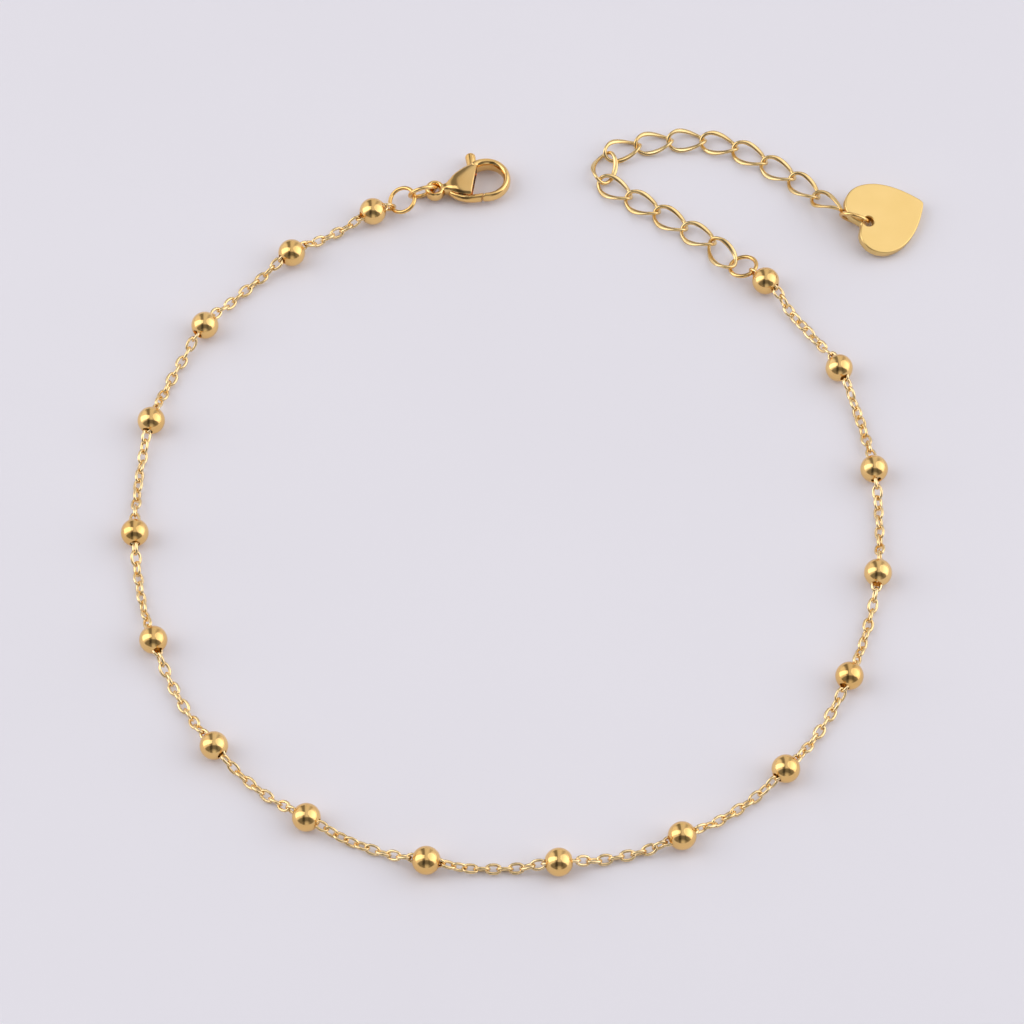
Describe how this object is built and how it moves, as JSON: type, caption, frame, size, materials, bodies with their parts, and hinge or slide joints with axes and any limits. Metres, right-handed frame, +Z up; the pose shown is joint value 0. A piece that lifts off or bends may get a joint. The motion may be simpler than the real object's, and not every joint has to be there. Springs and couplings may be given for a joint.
{
  "type": "charm anklet",
  "caption": "Unfastened fine-chain anklet with round beads along it, a lobster clasp at one end and a curb extender with a flat heart tag at the other.",
  "frame": {"origin": "on the surface the anklet lies on, under the middle of its bounding box", "axes": "+Z up from the surface, +Y towards the clasp and extender ends, +X towards the extender's side"},
  "size_m": [0.0878, 0.0932, 0.0033],
  "materials": {
    "polished_gold": "polished gold plating",
    "chain_gold": "bright gold-plated wire",
    "satin_gold": "satin gold plating"
  },
  "bodies": {
    "anklet": {"bead_01": "polished_gold", "bead_02": "polished_gold", "bead_03": "polished_gold", "bead_04": "polished_gold", "bead_05": "polished_gold", "bead_06": "polished_gold", "bead_07": "polished_gold", "bead_08": "polished_gold", "bead_09": "polished_gold", "bead_10": "polished_gold", "bead_11": "polished_gold", "bead_12": "polished_gold", "bead_13": "polished_gold", "bead_14": "polished_gold", "bead_15": "polished_gold", "bead_16": "polished_gold", "bead_17": "polished_gold", "satellite_chain": "chain_gold", "clasp_ring": "polished_gold", "clasp_link_ring": "polished_gold", "clasp_body": "polished_gold", "extender_ring": "polished_gold", "extender_link_01": "polished_gold", "extender_link_02": "polished_gold", "extender_link_03": "polished_gold", "extender_link_04": "polished_gold", "extender_link_05": "polished_gold", "extender_link_06": "polished_gold", "extender_link_07": "polished_gold", "extender_link_08": "polished_gold", "extender_link_09": "polished_gold", "extender_link_10": "polished_gold", "extender_link_11": "polished_gold", "extender_link_12": "polished_gold", "extender_link_13": "polished_gold", "extender_link_14": "polished_gold", "heart_ring": "polished_gold", "heart_tag": "satin_gold"},
    "lever": {"clasp_lever": "polished_gold"}
  },
  "joints": [
    {"name": "lever_hinge", "type": "hinge", "parent": "anklet", "child": "lever", "pos_m": [-0.00775, 0.03784, 0.0011], "axis": [0, 0, 1], "range_deg": [0, 20], "stiffness_Nm_per_rad": 0.004, "springref_deg": -17.19}
  ]
}
